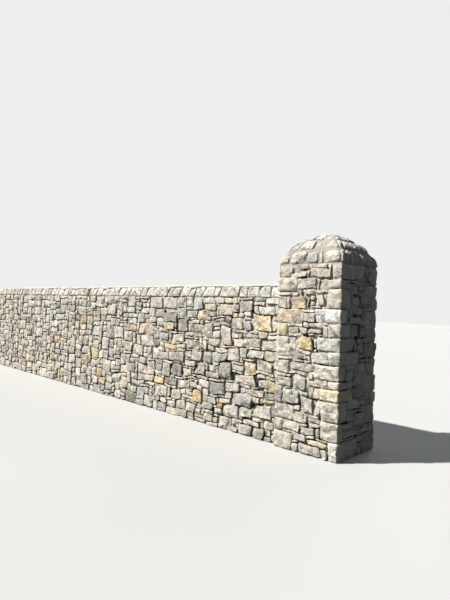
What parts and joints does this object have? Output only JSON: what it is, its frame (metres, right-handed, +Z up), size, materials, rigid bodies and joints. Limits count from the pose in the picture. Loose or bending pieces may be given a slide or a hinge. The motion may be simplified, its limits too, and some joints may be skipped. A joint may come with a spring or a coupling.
{
  "type": "rubble stone wall with domed end pier",
  "caption": "Straight boundary wall of pale random rubble with a leaning stone coping, ending at a square pier with bonded corners and a low domed cap.",
  "frame": {"origin": "middle of the footprint at ground level", "axes": "+X along the wall towards the domed pier, front face to -Y, +Z up"},
  "size_m": [10.4, 0.8, 2.415],
  "materials": {
    "rubble_masonry": "rough split rubble of pale limestone",
    "coping_stone": "rough split pale limestone",
    "quoin_stone": "roughly squared pale grey limestone",
    "dome_stone": "rough pale limestone",
    "pointing_mortar": "sandy lime mortar"
  },
  "bodies": {
    "root": {"wall_bay_1": "pointing_mortar", "wall_bay_2": "pointing_mortar", "wall_bay_3": "pointing_mortar", "wall_bay_4": "pointing_mortar", "wall_bay_5": "pointing_mortar", "wall_bay_6": "pointing_mortar", "rubble_bay_1": "rubble_masonry", "rubble_bay_2": "rubble_masonry", "rubble_bay_3": "rubble_masonry", "rubble_bay_4": "rubble_masonry", "rubble_bay_5": "rubble_masonry", "rubble_bay_6": "rubble_masonry", "coping_bay_1": "coping_stone", "coping_bay_2": "coping_stone", "coping_bay_3": "coping_stone", "coping_bay_4": "coping_stone", "coping_bay_5": "coping_stone", "coping_bay_6": "coping_stone", "end_quoins_front": "quoin_stone", "end_quoins_back": "quoin_stone", "pier_core": "pointing_mortar", "pier_rubble": "rubble_masonry", "pier_quoins_front_right": "quoin_stone", "pier_quoins_front_left": "quoin_stone", "pier_quoins_back_right": "quoin_stone", "pier_quoins_back_left": "quoin_stone", "dome_bedding": "pointing_mortar", "dome_ring_lower": "dome_stone", "dome_ring_middle": "dome_stone", "dome_ring_upper": "dome_stone", "dome_capstone": "dome_stone"}
  },
  "joints": []
}
